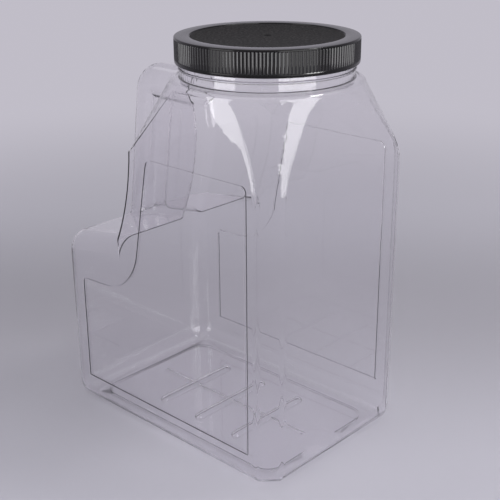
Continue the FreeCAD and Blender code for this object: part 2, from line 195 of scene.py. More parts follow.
class ShaderTree(Graph):
    """The node tree of a material or a world."""

    def __init__(self, owner: Material | World) -> None:
        """Give the owner an empty node tree."""
        owner.use_nodes = True
        super().__init__(owner.node_tree)

    def place(self, offset: Place = (0.0, 0.0, 0.0)) -> NodeSocket:
        """Object coordinates, moved by an offset."""
        where = self.node("ShaderNodeTexCoord").outputs["Object"]
        return self.node("ShaderNodeMapping", {}, {"Vector": where, "Location": offset}).outputs["Vector"]

    def axes(self, offset: Place = (0.0, 0.0, 0.0)) -> list[Value]:
        """X, Y and Z of the shaded point, moved by an offset."""
        parts = self.node("ShaderNodeSeparateXYZ", {}, {0: self.place(offset)})
        return [Value(self, part) for part in parts.outputs]

    def distance_from_axis(self, axis_x: float) -> Value:
        """Distance of the shaded point from the upright axis at an x."""
        x, y, _ = self.axes((-axis_x, 0.0, 0.0))
        return (x * x + y * y).root()

    def along(self, azimuth: float) -> Value:
        """Distance of the shaded point from the origin along a level heading.

        Args:
            azimuth: The heading, from +X towards +Y.

        Returns:
            The distance.
        """
        x, y, _ = self.axes()
        turn = math.radians(azimuth)
        return x * math.cos(turn) + y * math.sin(turn)

    def noise(self, where: NodeSocket, scale: float, detail: float = 2.0) -> Value:
        """Noise from 0 to 1 at a scale per metre."""
        made = self.node("ShaderNodeTexNoise", {}, {"Vector": where, "Scale": scale, "Detail": detail})
        return Value(self, made.outputs["Fac"])

    def bump(self, level: Value, relief: float) -> NodeSocket:
        """Normal bent by a level from 0 to 1 that stands for a relief of that height."""
        made = self.node("ShaderNodeBump", {}, {"Strength": 1.0, "Distance": relief, "Height": level})
        return made.outputs["Normal"]

    def tint(self, share: Value, low: Colour, high: Colour) -> NodeSocket:
        """Colour mixed from two by a share. The Mix node takes colours at 6 and 7, and gives them at 2."""
        made = self.node("ShaderNodeMix", {"data_type": "RGBA"}, {0: share, 6: low, 7: high})
        return made.outputs[2]

    def principled(self, **inputs: object) -> NodeSocket:
        """Principled shader, with the spaces in its socket names written as underscores."""
        named = {key.replace("_", " "): value for key, value in inputs.items()}
        return self.node("ShaderNodeBsdfPrincipled", {}, named).outputs["BSDF"]

    def blend(
        self, share: Value | NodeSocket, first: NodeSocket, second: NodeSocket,
    ) -> NodeSocket:
        """Shader mixed from two by a share."""
        return self.node("ShaderNodeMixShader", {}, {0: share, 1: first, 2: second}).outputs["Shader"]


# --------------------------------------------------------------------------- finishes


class Finish:
    """A named surface finish, which each kind of finish shades in its own way."""

    name: str

    def shade(self, tree: ShaderTree) -> NodeSocket:
        """Shader of the finish, built in a tree."""
        raise NotImplementedError(self.name)

    def material(self) -> Material:
        """Make the finish's material.

        Returns:
            The material.
        """
        made = bpy.data.materials.new(self.name)
        tree = ShaderTree(made)
        tree.node("ShaderNodeOutputMaterial", {}, {"Surface": self.shade(tree)})
        return made


@dataclass(frozen=True)
class ClearPet(Finish):
    """Clear blown PET: nearly colourless, glossy, with the slow waves that blowing leaves in the wall.

    Lamp light passes each surface at lamp_share of its strength, so the jar casts only a faint shadow.
    """

    name: str = "clear_pet_blown"
    colour: Colour = (0.962, 0.955, 0.968, 1.0)
    lamp_share: Colour = (0.85, 0.85, 0.855, 1.0)
    index: float = 1.57
    gloss: float = 0.005
    haze: float = 0.02
    haze_scale: float = 9.0
    haze_offset: Place = (0.3, 0.1, 0.2)
    wave_scale: float = 26.0
    wave_height: float = 0.12 * MM

    def shade(self, tree: ShaderTree) -> NodeSocket:
        """Shade the clear wall.

        Args:
            tree: The material's tree.

        Returns:
            The shader.
        """
        waves = tree.noise(tree.place(), self.wave_scale, detail=1.0)
        haze = tree.noise(tree.place(self.haze_offset), self.haze_scale, detail=3.0)
        wall = tree.principled(
            Base_Color=self.colour,
            Roughness=self.gloss + haze * self.haze,
            IOR=self.index,
            Transmission_Weight=1.0,
            Normal=tree.bump(waves, self.wave_height),
        )
        rays = tree.node("ShaderNodeLightPath").outputs
        open_way = tree.node("ShaderNodeBsdfTransparent", {}, {"Color": self.lamp_share})
        return tree.blend(rays["Is Shadow Ray"], wall, open_way.outputs["BSDF"])


@dataclass(frozen=True)
class BlackMoulding(Finish):
    """Black moulded polypropylene: satin gloss, with a speckled matte texture inside a radius on top."""

    name: str = "black_moulding"
    colour: Colour = (0.003, 0.003, 0.003, 1.0)
    speck_colour: Colour = (0.036, 0.032, 0.0335, 1.0)
    shine: float = 0.28
    gloss: float = 0.11
    matte: float = 1.0
    texture_radius: float = 51.0 * MM
    texture_floor: float = 288.0 * MM
    radius_blur: float = 0.2 * MM
    floor_blur: float = 0.5 * MM
    speck_scale: float = 650.0
    speck_range: Point = (0.4, 0.75)
    grain_scale: float = 2600.0
    cloud_scale: float = 60.0
    cloud_gloss: float = 0.06
    cloud_relief: float = 0.05
    relief: float = 0.06 * MM

    def shade(self, tree: ShaderTree) -> NodeSocket:
        """Shade the moulding.

        Args:
            tree: The material's tree.

        Returns:
            The shader.
        """
        away = tree.distance_from_axis(NECK_X)
        inside = 1.0 - away.step_up(self.texture_radius - self.radius_blur, self.texture_radius)
        top = tree.axes()[2].step_up(self.texture_floor - self.floor_blur, self.texture_floor)
        textured = inside * top
        where = tree.place()
        grain = tree.noise(where, self.grain_scale)
        cloud = tree.noise(where, self.cloud_scale, detail=4.0)
        specks = tree.noise(where, self.speck_scale).step_up(*self.speck_range)
        level = grain * textured + cloud * (1.0 - textured) * self.cloud_relief
        return tree.principled(
            Base_Color=tree.tint(textured * specks, self.colour, self.speck_colour),
            Roughness=self.gloss + cloud * self.cloud_gloss + textured * (self.matte - self.gloss),
            Specular_IOR_Level=self.shine,
            Normal=tree.bump(level, self.relief),
        )


@dataclass(frozen=True)
class LinerFoam(Finish):
    """White pressed foam with fine closed cells."""

    name: str = "liner_foam"
    light: Colour = (0.86, 0.86, 0.84, 1.0)
    dark: Colour = (0.78, 0.78, 0.76, 1.0)
    gloss: float = 0.55
    gloss_range: float = 0.15
    cell_scale: float = 1800.0
    relief: float = 0.05 * MM

    def shade(self, tree: ShaderTree) -> NodeSocket:
        """Shade the foam.

        Args:
            tree: The material's tree.

        Returns:
            The shader.
        """
        cells = tree.noise(tree.place(), self.cell_scale)
        return tree.principled(
            Base_Color=tree.tint(cells, self.light, self.dark),
            Roughness=self.gloss + cells * self.gloss_range,
            Normal=tree.bump(cells, self.relief),
        )


@dataclass(frozen=True)
class StageGrey(Finish):
    """Plain pale grey floor with painted shade behind the jar, that runs out into the plain pale background.

    A band of painted shade darkens the floor and clears again along a heading, and the floor runs out
    with the distance from the origin.
    """

    name: str = "stage_grey"
    floor: Colour = (0.475, 0.46, 0.52, 1.0)
    # Painted shade: colour of the darker band on the floor behind the jar.
    painted_shade: Colour = (0.37, 0.355, 0.40, 1.0)
    background: Colour = (0.53, 0.51, 0.575, 1.0)
    matte: float = 0.9
    heading: float = 133.2505
    # Where along the heading the painted shade sets in, and where it clears again.
    shade_starts: Point = (-0.10, 0.16)
    shade_ends: Point = (0.20, 0.50)
    runs_out: Point = (0.25, 1.10)

    def shade(self, tree: ShaderTree) -> NodeSocket:
        """Shade the floor.

        Args:
            tree: The material's tree.

        Returns:
            The shader.
        """
        away = tree.along(self.heading)
        # Painted shade: share of the darker band along the heading, which tints the floor's colour.
        depth = away.step_up(*self.shade_starts) - away.step_up(*self.shade_ends)
        ground = tree.principled(Base_Color=tree.tint(depth, self.floor, self.painted_shade), Roughness=self.matte)
        glow = tree.node("ShaderNodeEmission", {}, {"Color": self.background, "Strength": 1.0})
        share = tree.distance_from_axis(0.0).step_up(*self.runs_out)
        return tree.blend(share, ground, glow.outputs["Emission"])


# --------------------------------------------------------------------------- mesh helpers


def link(name: str, mesh: Mesh, material: Material) -> Object:
    """Put a mesh into the scene as an object at the origin.

    Args:
        name: Name of the object.
        mesh: Its mesh.
        material: The only material that the mesh keeps.

    Returns:
        The object.
    """
    made = bpy.data.objects.new(name, mesh)
    bpy.context.scene.collection.objects.link(made)
    mesh.materials.clear()
    mesh.materials.append(material)
    return made


def as_mesh(name: str, bm: BMesh, sharp_angle: float) -> Mesh:
    """Turn a mesh under construction into a mesh that is shaded smooth, and free it.

    Args:
        name: Name of the mesh.
        bm: The mesh under construction.
        sharp_angle: Angle above which an edge stays sharp.

    Returns:
        The mesh.
    """
    mesh = bpy.data.meshes.new(name)
    bm.to_mesh(mesh)
    bm.free()
    for layer in ("custom_normal", "sharp_face", "sharp_edge"):
        if layer in mesh.attributes:
            mesh.attributes.remove(mesh.attributes[layer])
    mesh.set_sharp_from_angle(angle=math.radians(sharp_angle))
    return mesh


def about_neck(radius: float, turn: float, z: float) -> Place:
    """Point at a radius, an angle in radians and a height about the neck's axis."""
    return NECK_X + radius * math.cos(turn), radius * math.sin(turn), z


def arc(centre: Point, radius: float, start: float, stop: float, steps: int) -> list[Point]:
    """Points of an arc in a section.

    Args:
        centre: The arc's centre.
        radius: Its radius.
        start: Angle of its first point.
        stop: Angle of its last point.
        steps: Number of steps between them.

    Returns:
        The points.
    """
    turns = [math.radians(start + (stop - start) * i / steps) for i in range(steps + 1)]
    return [(centre[0] + radius * math.cos(turn), centre[1] + radius * math.sin(turn)) for turn in turns]


def collar(low: Point, high: Point, steps: int) -> list[Point]:
    """Points of a quarter ellipse in a section, which leaves low upright and comes to high level.

    Args:
        low: Where it starts, which isn't among the points.
        high: Where it ends.
        steps: Number of points.

    Returns:
        The points.
    """
    turns = [math.radians(90.0 * i / steps) for i in range(1, steps + 1)]
    return [
        (high[0] + (low[0] - high[0]) * math.cos(turn), low[1] + (high[1] - low[1]) * math.sin(turn))
        for turn in turns
    ]


def bar(bm: BMesh, rings: list[list[BMVert]]) -> None:
    """Skin a row of rings as a bar with flat ends.

    Args:
        bm: The mesh that holds the rings.
        rings: Rings with as many vertices each.
    """
    for low, high in zip(rings, rings[1:]):
        for i in range(len(low)):
            j = (i + 1) % len(low)
            bm.faces.new((low[i], low[j], high[j], high[i]))
    bm.faces.new(rings[0][::-1])
    bm.faces.new(rings[-1])
    bmesh.ops.recalc_face_normals(bm, faces=bm.faces)


def revolve(section: list[Point], segments: int) -> BMesh:
    """Turn a section about the neck's axis.

    Args:
        section: (radius, z) points, of which the first and the last lie on the axis.
        segments: Number of steps round the axis.

    Returns:
        A mesh with its poles and seam closed.
    """
    bm = bmesh.new()
    turns = [FULL_TURN * i / segments for i in range(segments)]
    rings = [
        [bm.verts.new(about_neck(radius, turn, z)) for turn in (turns if radius > 0.0 else turns[:1])]
        for radius, z in section
    ]
    for low, high in zip(rings, rings[1:]):
        for i in range(segments):
            corner = [low[i % len(low)], low[(i + 1) % len(low)]]
            corner += [high[(i + 1) % len(high)], high[i % len(high)]]
            bm.faces.new(dict.fromkeys(corner))
    bmesh.ops.recalc_face_normals(bm, faces=bm.faces)
    return bm


@dataclass(frozen=True)
class Ridge:
    """Right-hand screw thread on a round wall, sunk a little into it and faded in and out at its ends."""

    wall_radius: float
    start_z: float
    turns: float
    sink: float
    height: float = 1.2 * MM
    pitch: float = 5.08 * MM
    root: float = 2.4 * MM
    crest: float = 1.0 * MM
    fade: float = 0.06
    least_height: float = 0.04
    steps_per_turn: int = 144

    def build(self, facing: Facing) -> BMesh:
        """Make the ridge.

        Args:
            facing: Which way it stands from its wall.

        Returns:
            A closed mesh.
        """
        bm = bmesh.new()
        steps = int(self.turns * self.steps_per_turn)
        foot = self.wall_radius - facing.value * self.sink
        rings = []
        for i in range(steps + 1):
            turns = self.turns * i / steps
            share = max(self.least_height, min(1.0, turns / self.fade, (self.turns - turns) / self.fade))
            top = self.wall_radius + facing.value * self.height * share
            level = self.start_z + turns * self.pitch
            flank = ((foot, self.root), (self.wall_radius, self.root), (top, self.crest))
            section = [(radius, level - width / 2.0) for radius, width in flank]
            section += [(radius, level + width / 2.0) for radius, width in reversed(flank)]
            rings.append([bm.verts.new(about_neck(radius, FULL_TURN * turns, z)) for radius, z in section])
        bar(bm, rings)
        return bm


# --------------------------------------------------------------------------- jar


@dataclass(frozen=True)
class Facet:
    """One facet of the shoulder, in plan: a straight foot from a to b that is drawn up into an arc."""

    a: Point
    b: Point
    start: float
    stop: float
    radius: float

    def foot(self, share: np.ndarray) -> np.ndarray:
        """Points of the foot at shares from 0 to 1."""
        first, last = np.array(self.a), np.array(self.b)
        return first + share[..., None] * (last - first)

    def crown(self, share: np.ndarray) -> np.ndarray:
        """Points of the arc at shares from 0 to 1."""
        turn = np.radians(self.start + share * (self.stop - self.start))
        return np.stack([NECK_X + self.radius * np.cos(turn), self.radius * np.sin(turn)], axis=-1)


@dataclass(frozen=True)
class Crease:
    """Straight line where two walls meet, from low to high, with the turn between them at each end."""

    low: Place
    high: Place
    outward: float
    low_turn: float
    high_turn: float

    def along(self) -> Vector:
        """Direction of the line."""
        return (Vector(self.high) - Vector(self.low)).normalized()

    def inward(self) -> Vector:
        """Direction into the jar, square to the line.

        Returns:
            A unit vector.
        """
        turn = math.radians(self.outward)
        level = Vector((-math.cos(turn), -math.sin(turn), 0.0))
        along = self.along()
        return (level - along * level.dot(along)).normalized()


@dataclass
class JarShell:
    """The blown jar: the frame's own shape, with its corners and shoulder line softened as blowing does.

    The walls start to lean soft_reach below the shoulder line, and meet the facets as far above it. A
    crease is rounded within crease_reach. Points within snap of a facet are seated on it.
    """

    half_length: float = JAR_X
    half_width: float = JAR_Y
    wall: float = 0.8 * MM
    chamfer: float = 13.0 * MM
    recess_x: float = -22.4 * MM
    recess_chamfer: float = 1.0 * MM
    shoulder_z: float = 214.5 * MM
    shoulder_height: float = 45.0 * MM
    shoulder_radius: float = 65.8 * MM
    flat_half_angle: float = 23.0
    chamfer_turn: float = 45.0
    panel_depth: float = 1.0 * MM
    panel_slope: float = 0.15 * MM
    soft_reach: float = 11.0 * MM
    soft_slices: int = 12
    soft_fade: float = 20.0 * MM
    upper_slices: int = 10
    turn_step: float = 3.0
    crease_reach: float = 2.6 * MM
    crease_margin: float = 3.0 * MM
    seat_reach: float = 3.0 * MM
    seat_steps: int = 128
    snap: float = 0.15 * MM
    sliver: float = 0.002 * MM
    neck_radius: float = 58.4 * MM
    neck_bore: float = 56.2 * MM
    neck_base_step: float = 0.9 * MM
    neck_base_z: float = 263.3 * MM
    neck_bend: float = 1.6 * MM
    bead_z: float = 269.0 * MM
    bead_radius: float = 0.9 * MM
    rim_z: float = JAR_TOP
    rim_edge: float = 0.5 * MM
    collar_steps: int = 8
    bead_steps: int = 8
    bend_steps: int = 5
    edge_steps: int = 4
    sharp_angle: float = 55.0
    thread_sharp_angle: float = 35.0
    thread: Ridge = Ridge(wall_radius=neck_radius, start_z=278.312 * MM, turns=1.1, sink=0.3 * MM)
    finish: ClearPet = ClearPet()

    @property
    def shoulder_top(self) -> float:
        """Level at which the facets end and the neck's collar starts."""
        return self.shoulder_z + self.shoulder_height

    def plan(self, depth: float) -> tuple[float, float, float, float]:
        """Plan of the upper body at a depth in the wall.

        Args:
            depth: Distance inside the outer face.

        Returns:
            Half length, half width, the chamfer's leg and the radius at the shoulder's top.
        """
        leg = self.chamfer - depth * (2.0 - math.sqrt(2.0))
        return self.half_length - depth, self.half_width - depth, leg, self.shoulder_radius - depth

    def facets(self, depth: float) -> list[Facet]:
        """The shoulder's facets round the plain end and along both label sides.

        Args:
            depth: Distance inside the outer face.

        Returns:
            The facets.
        """
        x, y, leg, radius = self.plan(depth)
        left = self.recess_x + depth + self.recess_chamfer
        lean = self.flat_half_angle
        return [
            Facet((x, -y + leg), (x, y - leg), -lean, lean, radius),
            Facet((x, y - leg), (x - leg, y), lean, 90.0 - lean, radius),
            Facet((x - leg, y), (left, y), 90.0 - lean, 90.0 + lean, radius),
            Facet((left, -y), (x - leg, -y), -90.0 - lean, -90.0 + lean, radius),
            Facet((x - leg, -y), (x, -y + leg), -90.0 + lean, -lean, radius),
        ]

    def creases(self, depth: float) -> list[Crease]:
        """Lines where two walls or two facets meet at the plain end.

        Args:
            depth: Distance inside the outer face.

        Returns:
            The creases: on each side two up the walls, and one up the shoulder from each.
        """
        x, y, leg, radius = self.plan(depth)
        half = self.chamfer_turn / 2.0
        lines = []
        for side in (-1.0, 1.0):
            for foot, crown, outward in (
                ((x - leg, side * y), side * (90.0 - self.flat_half_angle), side * (90.0 - half)),
                ((x, side * (y - leg)), side * self.flat_half_angle, side * half),
            ):
                knee = (*foot, self.shoulder_z)
                head = about_neck(radius, math.radians(crown), self.shoulder_top)
                lines.append(Crease((*foot, 0.0), knee, outward, self.chamfer_turn, self.chamfer_turn))
                lines.append(Crease(knee, head, outward, self.chamfer_turn, 0.0))
        return lines

    def cut(
        self, bm: BMesh, point: Vector, normal: Vector, faces: list[BMFace],
    ) -> list[BMFace]:
        """Cut faces along a plane, and leave both sides in place.

        Args:
            bm: The mesh.
            point: A point of the plane.
            normal: The plane's normal.
            faces: Faces that the plane may cut.

        Returns:
            Those faces and the ones that the cut made of them.
        """
        edges = {edge for face in faces for edge in face.edges}
        verts = {vert for face in faces for vert in face.verts}
        made = bmesh.ops.bisect_plane(
            bm, geom=[*verts, *edges, *faces], dist=ON_CUT, plane_co=point, plane_no=normal,
        )
        return [item for item in made["geom"] if isinstance(item, BMFace)]

    def slope_panels(self, bm: BMesh) -> None:
        """Lean the steps round the label panels, as blowing does, by moving their outer edges away.

        A point of an edge moves away from each step wall that it is on by panel_slope. Walls that face
        almost the same way count as one.

        Args:
            bm: The jar's mesh.
        """
        upright = 0.2
        alike = 0.05
        moves = []
        for outer, way in ((self.half_width, -1.0), (self.half_width - self.wall, 1.0)):
            inner = outer - self.panel_depth
            sides: dict[BMVert, list[Vector]] = {}
            for face in bm.faces:
                levels = [abs(vert.co.y) for vert in face.verts]
                spans_step = abs(max(levels) - outer) < HAIR and abs(min(levels) - inner) < HAIR
                if spans_step and abs(face.normal.y) < upright:
                    for vert in face.verts:
                        if abs(abs(vert.co.y) - outer) < HAIR:
                            sides.setdefault(vert, []).append(face.normal)
            for vert, normals in sides.items():
                facing = np.array([(normal.x, normal.z) for normal in normals])
                run = np.full(len(normals), way * self.panel_slope)
                x, z = np.linalg.lstsq(facing, run, rcond=alike)[0]
                moves.append((vert, Vector((x, 0.0, z))))
        for vert, move in moves:
            vert.co += move

    def grid_shoulder(self, bm: BMesh) -> None:
        """Cut the shoulder and the walls just below it into a fine grid of levels and sectors.

        Args:
            bm: The jar's mesh.
        """
        low, high = self.shoulder_z - self.soft_reach, self.shoulder_z + self.soft_reach
        rest = self.shoulder_top - high
        up = Vector((0.0, 0.0, 1.0))
        crossing = [
            face for face in bm.faces
            if min(v.co.z for v in face.verts) < low < max(v.co.z for v in face.verts)
            and max(v.co.x for v in face.verts) > self.recess_x
        ]
        self.cut(bm, Vector((0.0, 0.0, low)), up, crossing)
        faces = [
            face for face in bm.faces
            if min(v.co.z for v in face.verts) > low - TOUCH
            and face.calc_center_median().x > self.recess_x + self.recess_chamfer
        ]
        levels = [low + (high - low) * i / self.soft_slices for i in range(1, self.soft_slices + 1)]
        levels += [high + rest * i / self.upper_slices for i in range(1, self.upper_slices)]
        for level in levels:
            faces = self.cut(bm, Vector((0.0, 0.0, level)), up, faces)
        for i in range(int(180.0 / self.turn_step)):
            turn = math.radians((i + 0.5) * self.turn_step)
            across = Vector((-math.sin(turn), math.cos(turn), 0.0))
            faces = self.cut(bm, Vector((NECK_X, 0.0, 0.0)), across, faces)

    def strip_creases(self, bm: BMesh) -> None:
        """Cut narrow strips along both sides of each crease, so that it can be rounded.

        Args:
            bm: The jar's mesh.
        """
        wide = 1.5 * self.crease_reach
        for crease in self.creases(0.0) + self.creases(self.wall):
            low, along = Vector(crease.low), crease.along()
            across = along.cross(crease.inward())
            length = (Vector(crease.high) - low).length
            near = set()
            for vert in bm.verts:
                offset = vert.co - low
                run = offset.dot(along)
                beside = (offset - along * run).length < wide
                if beside and -self.crease_margin < run < length + self.crease_margin:
                    near.update(vert.link_faces)
            faces = list(near)
            for share in (-1.0, -0.5, 0.5, 1.0):
                faces = self.cut(bm, low + across * share * self.crease_reach, across, faces)

    def rounded(self, co: np.ndarray) -> np.ndarray:
        """Shift that rounds the creases: inwards, most on the line and none beyond its reach.

        Args:
            co: Vertex places, n by 3.

        Returns:
            Shifts, n by 3.
        """
        shift = np.zeros_like(co)
        for crease in self.creases(0.0) + self.creases(self.wall):
            low, high = np.array(crease.low), np.array(crease.high)
            length = np.linalg.norm(high - low)
            along = (high - low) / length
            run = (co - low) @ along
            gap = np.linalg.norm(co - low - run[:, None] * along, axis=1)
            near = (gap < self.crease_reach) & (run > 0.0) & (run <= length)
            share = run[near] / length
            turn = np.radians(crease.low_turn + share * (crease.high_turn - crease.low_turn))
            size = np.tan(turn / 4.0) * (self.crease_reach - gap[near]) ** 2 / self.crease_reach
            shift[near] = size[:, None] * np.array(crease.inward())
        return shift

    def softened(self, co: np.ndarray) -> np.ndarray:
        """Shift that seats the shoulder's points on its facets and rounds the shoulder line.

        Walls start to lean in below the line and meet the facets above it without a corner.

        Args:
            co: Vertex places, n by 3.

        Returns:
            Level shifts, n by 3.
        """
        reach, height = self.soft_reach, self.shoulder_height
        rise = co[:, 2] - (self.shoulder_z - reach)
        zone = (rise > 0.0) & (co[:, 2] < self.shoulder_top + TOUCH) & (co[:, 0] > self.recess_x)
        places, rise = co[zone], rise[zone]
        above = np.clip(places[:, 2] - self.shoulder_z, 0.0, None)
        extra = np.where(rise < 2.0 * reach, rise ** 2 / (4.0 * reach * height) - above / height, 0.0)
        fade = np.clip((places[:, 0] - self.recess_x) / self.soft_fade, 0.0, 1.0)
        extra *= fade * fade * (3.0 - 2.0 * fade)
        level = (above / height)[:, None, None]
        shares = np.linspace(0.0, 1.0, self.seat_steps + 1)
        rows = np.arange(len(places))
        best = np.full(len(places), self.seat_reach)
        found = np.zeros((len(places), 2))
        for facet in self.facets(0.0) + self.facets(self.wall):
            foot, crown = facet.foot(shares)[None], facet.crown(shares)[None]
            path = foot * (1.0 - level) + crown * level
            step = path[:, 1:] - path[:, :-1]
            offset = places[:, None, :2] - path[:, :-1]
            part = np.clip((offset * step).sum(2) / (step * step).sum(2), 0.0, 1.0)
            miss = path[:, :-1] + part[..., None] * step - places[:, None, :2]
            gap = np.linalg.norm(miss, axis=2)
            pick = gap.argmin(axis=1)
            near = gap[rows, pick]
            better = near < best
            best = np.where(better, near, best)
            seat = miss[rows, pick] * ((near < self.snap) & (places[:, 2] > self.shoulder_z))[:, None]
            found[better] = (seat + extra[:, None] * (crown - foot)[0][pick])[better]
        shift = np.zeros_like(co)
        shift[zone, :2] = found
        return shift

    def neck_outside(self) -> list[Point]:
        """Section of the neck's outer face, from the shoulder up to the rim.

        Returns:
            (radius, z) points.
        """
        low = (self.shoulder_radius, self.shoulder_top)
        base = self.neck_radius + self.neck_base_step
        edge = (self.neck_radius - self.rim_edge, self.rim_z - self.rim_edge)
        points = collar(low, (base, self.neck_base_z), self.collar_steps)
        step = (base, self.neck_base_z + self.neck_base_step)
        points += arc(step, self.neck_base_step, 270.0, 180.0, self.edge_steps)[1:]
        points += arc((self.neck_radius, self.bead_z), self.bead_radius, -90.0, 90.0, self.bead_steps)
        points += arc(edge, self.rim_edge, 0.0, 90.0, self.edge_steps)
        return points

    def neck_inside(self) -> list[Point]:
        """Section of the neck's inner face, from the shoulder up to the rim.

        Returns:
            (radius, z) points.
        """
        low = (self.shoulder_radius - self.wall, self.shoulder_top)
        foot = self.neck_bore + self.neck_bend
        head = self.neck_base_z - self.wall
        edge = (self.neck_bore + self.rim_edge, self.rim_z - self.rim_edge)
        points = collar(low, (foot, head), self.collar_steps)[:-1]
        points += arc((foot, head + self.neck_bend), self.neck_bend, 270.0, 180.0, self.bend_steps)
        points += arc(edge, self.rim_edge, 180.0, 90.0, self.edge_steps)
        return points

    def turn_up(
        self, bm: BMesh, loop: list[BMVert], section: list[Point], facing: Facing,
    ) -> list[BMVert]:
        """Carry a ring of vertices up along a section about the neck's axis.

        Args:
            bm: The mesh.
            loop: The ring's vertices in order of their angle.
            section: (radius, z) points.
            facing: Which way the faces look.

        Returns:
            The last ring's vertices.
        """
        turns = [self.turn_of(vert) for vert in loop]
        below = loop
        for radius, z in section:
            ring = [bm.verts.new(about_neck(radius, turn, z)) for turn in turns]
            for i in range(len(ring)):
                j = (i + 1) % len(ring)
                corners = [below[i], below[j], ring[j], ring[i]]
                bm.faces.new(corners[::-1] if facing is Facing.INWARD else corners)
            below = ring
        return below

    def turn_of(self, vert: BMVert) -> float:
        """Angle of a vertex about the neck's axis, in radians."""
        return math.atan2(vert.co.y, vert.co.x - NECK_X)

    def add_neck(self, bm: BMesh) -> None:
        """Close the open shoulder with the neck: outer face, inner face and the flat rim between them.

        Args:
            bm: The jar's mesh, open at the top of its shoulder.
        """
        middle = self.shoulder_radius - self.wall / 2.0
        edge_verts = {vert for edge in bm.edges if edge.is_boundary for vert in edge.verts}
        rims = []
        for facing, section in ((Facing.OUTWARD, self.neck_outside()), (Facing.INWARD, self.neck_inside())):
            loop = [
                vert for vert in edge_verts
                if (math.hypot(vert.co.x - NECK_X, vert.co.y) < middle) == (facing is Facing.INWARD)
            ]
            rims.append(self.turn_up(bm, sorted(loop, key=self.turn_of), section, facing))
        outer, inner = rims
        outer_turns, inner_turns = (
            [self.turn_of(vert) for vert in rim] + [self.turn_of(rim[0]) + FULL_TURN] for rim in rims
        )
        i = j = 0
        while i < len(outer) or j < len(inner):
            a, b = outer[i % len(outer)], inner[j % len(inner)]
            if j == len(inner) or (i < len(outer) and outer_turns[i + 1] < inner_turns[j + 1]):
                i += 1
                bm.faces.new((a, outer[i % len(outer)], b))
            else:
                j += 1
                bm.faces.new((a, inner[j % len(inner)], b))

    def build(self, source: Object) -> list[Object]:
        """Copy the frame's jar, grid its shoulder, round its corners and turn its neck anew.

        Args:
            source: The frame's jar, which is only read.

        Returns:
            The dressed jar and the thread on its neck.
        """
        bm = bmesh.new()
        bm.from_mesh(source.data)
        bmesh.ops.remove_doubles(bm, verts=bm.verts, dist=TOUCH)
        neck = [face for face in bm.faces if min(v.co.z for v in face.verts) > self.shoulder_top - HAIR]
        bmesh.ops.delete(bm, geom=neck, context="FACES")
        self.slope_panels(bm)
        self.grid_shoulder(bm)
        self.strip_creases(bm)
        co = np.array([vert.co for vert in bm.verts])
        co += self.rounded(co) + self.softened(co)
        for vert, place in zip(bm.verts, co):
            vert.co = place
        self.add_neck(bm)
        bmesh.ops.dissolve_degenerate(bm, dist=self.sliver, edges=bm.edges)
        bmesh.ops.triangulate(bm, faces=[face for face in bm.faces if len(face.verts) > 4])
        ridge = self.thread.build(Facing.OUTWARD)
        material = self.finish.material()
        shell = link("jar_shell", as_mesh("jar_shell", bm, self.sharp_angle), material)
        thread = link("neck_thread", as_mesh("neck_thread", ridge, self.thread_sharp_angle), material)
        weigh = shell.modifiers.new("weigh", "WEIGHTED_NORMAL")
        weigh.mode = "FACE_AREA"
        weigh.keep_sharp = True
        weigh.weight = 60
        return [shell, thread]


# --------------------------------------------------------------------------- cap


